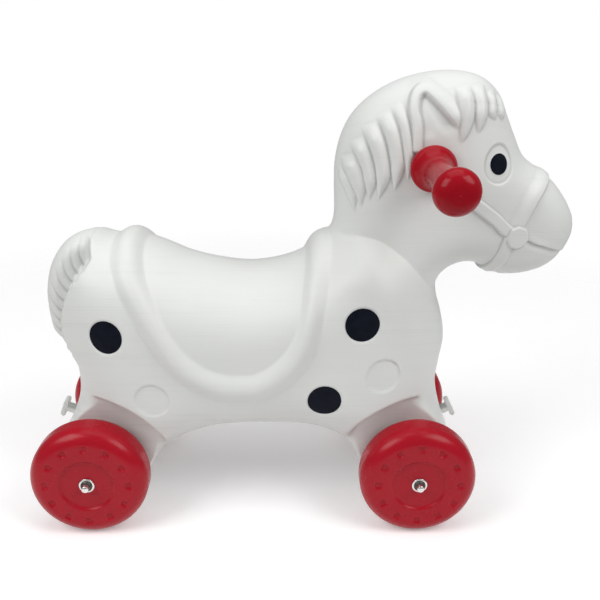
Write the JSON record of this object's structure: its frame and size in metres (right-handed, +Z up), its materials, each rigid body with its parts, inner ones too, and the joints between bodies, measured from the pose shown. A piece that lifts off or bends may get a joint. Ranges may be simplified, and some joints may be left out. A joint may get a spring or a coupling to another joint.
{
  "type": "ride-on horse on wheels",
  "caption": "Blow-moulded ride-on toy horse with a saddle seat, spool hand grips on the head, wheels on steel cross axles, moulded mane and bridle, dark round spots and tow cleats.",
  "frame": {"origin": "on the floor under the middle of the whole toy's box", "axes": "+X towards the horse's nose, +Y to its left, +Z up"},
  "size_m": [0.6012, 0.3746, 0.4975],
  "materials": {
    "body_plastic": "satin off-white blow-moulded polyethylene with faint fine lines",
    "wheel_plastic": "satin red moulded polyethylene",
    "grip_plastic": "glossy red moulded plastic",
    "steel": "bright zinc-plated steel",
    "dark_sticker": "satin near-black vinyl sticker"
  },
  "bodies": {
    "chassis": {"body_shell": "body_plastic", "handle_rod": "steel", "front_axle": "steel", "rear_axle": "steel", "right_grip": "grip_plastic", "left_grip": "grip_plastic", "front_right_spacer": "steel", "front_left_spacer": "steel", "rear_right_spacer": "steel", "rear_left_spacer": "steel", "front_right_washer": "steel", "front_left_washer": "steel", "rear_right_washer": "steel", "rear_left_washer": "steel", "front_right_nut": "steel", "front_left_nut": "steel", "rear_right_nut": "steel", "rear_left_nut": "steel", "shoulder_right_spot": "dark_sticker", "shoulder_left_spot": "dark_sticker", "belly_right_spot": "dark_sticker", "belly_left_spot": "dark_sticker", "rump_right_spot": "dark_sticker", "rump_left_spot": "dark_sticker", "right_pupil": "dark_sticker", "left_pupil": "dark_sticker"},
    "front_right_wheel": {"front_right_wheel": "wheel_plastic"},
    "front_left_wheel": {"front_left_wheel": "wheel_plastic"},
    "rear_right_wheel": {"rear_right_wheel": "wheel_plastic"},
    "rear_left_wheel": {"rear_left_wheel": "wheel_plastic"}
  },
  "joints": [
    {"name": "front_right_wheel_spin", "type": "hinge", "parent": "chassis", "child": "front_right_wheel", "pos_m": [0.12941, -0.09411, 0.065], "axis": [0, 1, 0], "continuous": true},
    {"name": "front_left_wheel_spin", "type": "hinge", "parent": "chassis", "child": "front_left_wheel", "pos_m": [0.12941, 0.09411, 0.065], "axis": [0, 1, 0], "continuous": true},
    {"name": "rear_right_wheel_spin", "type": "hinge", "parent": "chassis", "child": "rear_right_wheel", "pos_m": [-0.23559, -0.09411, 0.065], "axis": [0, 1, 0], "continuous": true},
    {"name": "rear_left_wheel_spin", "type": "hinge", "parent": "chassis", "child": "rear_left_wheel", "pos_m": [-0.23559, 0.09411, 0.065], "axis": [0, 1, 0], "continuous": true}
  ]
}
